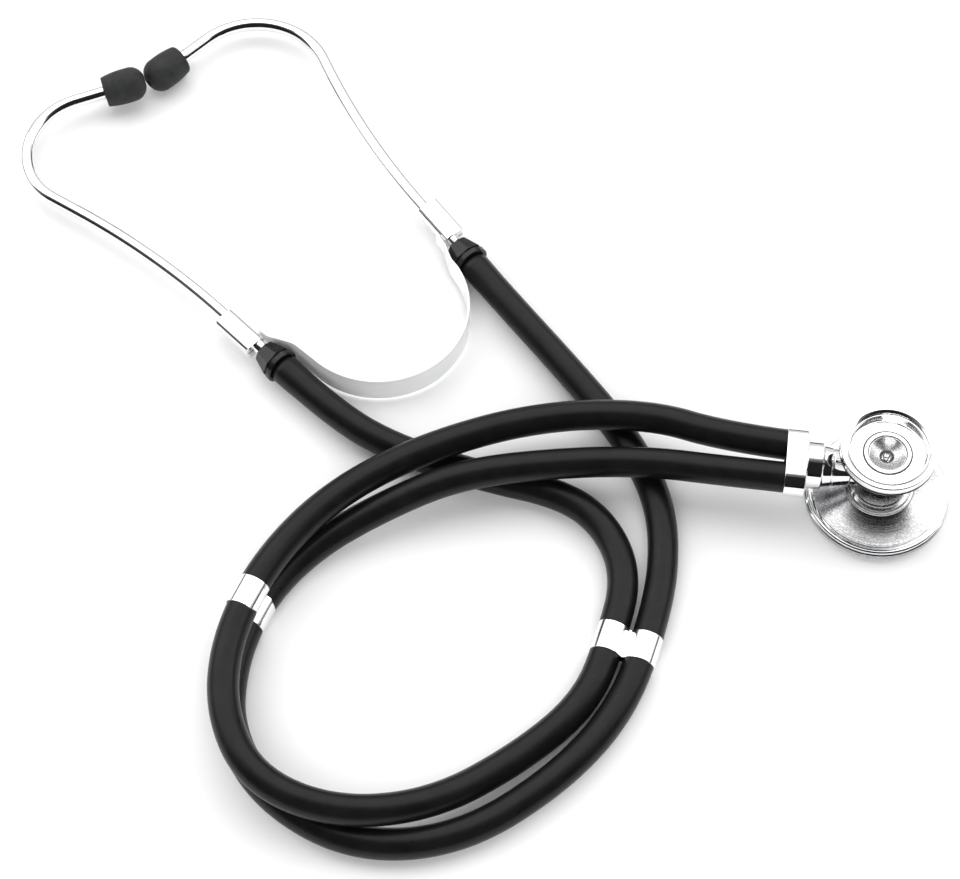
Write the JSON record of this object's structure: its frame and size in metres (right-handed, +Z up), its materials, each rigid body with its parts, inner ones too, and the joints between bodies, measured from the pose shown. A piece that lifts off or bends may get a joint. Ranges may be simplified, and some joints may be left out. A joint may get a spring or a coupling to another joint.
{
  "type": "stethoscope",
  "caption": "Double-tube, dual-head stethoscope laid out on a table: chestpiece with a turning valve stem, two hoses, loop clips and a sprung headset.",
  "frame": {"origin": "centre of the large head's face, on the table", "axes": "+X along the stem axis from the hose ends to the chestpiece, +Z up from the large head's face to the small head"},
  "size_m": [0.33, 0.3127, 0.0345],
  "materials": {
    "chrome": "polished",
    "spring_steel": "satin",
    "brass": "machined",
    "hose_rubber": "satin black",
    "tip_rubber": "soft matte black",
    "adapter_plastic": "glossy black",
    "diaphragm": "satin",
    "clear_diaphragm": "clear"
  },
  "bodies": {
    "tubing": {"far_hose": "hose_rubber", "near_hose": "hose_rubber", "right_loop_clip": "chrome", "left_loop_clip": "chrome", "hose_collar": "chrome", "hose_nipples": "brass", "valve_stem": "chrome", "spindle_clip": "spring_steel", "leaf_spring": "spring_steel"},
    "chestpiece": {"drum_body": "chrome", "large_head_body": "chrome", "large_diaphragm": "diaphragm", "large_retaining_ring": "chrome", "small_head_body": "chrome", "small_diaphragm": "clear_diaphragm", "small_retaining_ring": "chrome", "detent_ball": "spring_steel", "detent_spring": "spring_steel", "detent_screw": "spring_steel"},
    "left_arm": {"left_bracket": "chrome", "left_adapter": "adapter_plastic"},
    "right_arm": {"right_bracket": "chrome", "right_adapter": "adapter_plastic"},
    "left_ear_tube_assembly": {"left_ear_tube": "chrome", "left_ear_tip": "tip_rubber", "left_ear_tip_bush": "brass"},
    "right_ear_tube_assembly": {"right_ear_tube": "chrome", "right_ear_tip": "tip_rubber", "right_ear_tip_bush": "brass"}
  },
  "joints": [
    {"name": "chestpiece_turn", "type": "hinge", "parent": "tubing", "child": "chestpiece", "pos_m": [0, 0, 0.0185], "axis": [1, 0, 0], "continuous": true},
    {"name": "left_arm_spread", "type": "hinge", "parent": "tubing", "child": "left_arm", "pos_m": [-0.1756, 0.0192, 0.0064], "axis": [0, 0, 1], "range_deg": [0, 24], "stiffness_Nm_per_rad": 1.7, "deforming": ["leaf_spring", "far_hose"]},
    {"name": "right_arm_spread", "type": "hinge", "parent": "tubing", "child": "right_arm", "pos_m": [-0.1433, 0.0547, 0.0064], "axis": [0, 0, 1], "range_deg": [-24, 0], "stiffness_Nm_per_rad": 1.7, "deforming": ["leaf_spring", "near_hose"]},
    {"name": "left_ear_tube_turn", "type": "hinge", "parent": "left_arm", "child": "left_ear_tube_assembly", "pos_m": [-0.20748, 0.02768, 0.0064], "axis": [-0.7848, 0.6198, 0], "range_deg": [-25, 25]},
    {"name": "right_ear_tube_turn", "type": "hinge", "parent": "right_arm", "child": "right_ear_tube_assembly", "pos_m": [-0.14839, 0.07776, 0.0064], "axis": [-0.6909, 0.723, 0], "range_deg": [-25, 25]}
  ],
  "couplings": [
    {"joint": "right_arm_spread", "follows": "left_arm_spread", "ratio": -1}
  ]
}
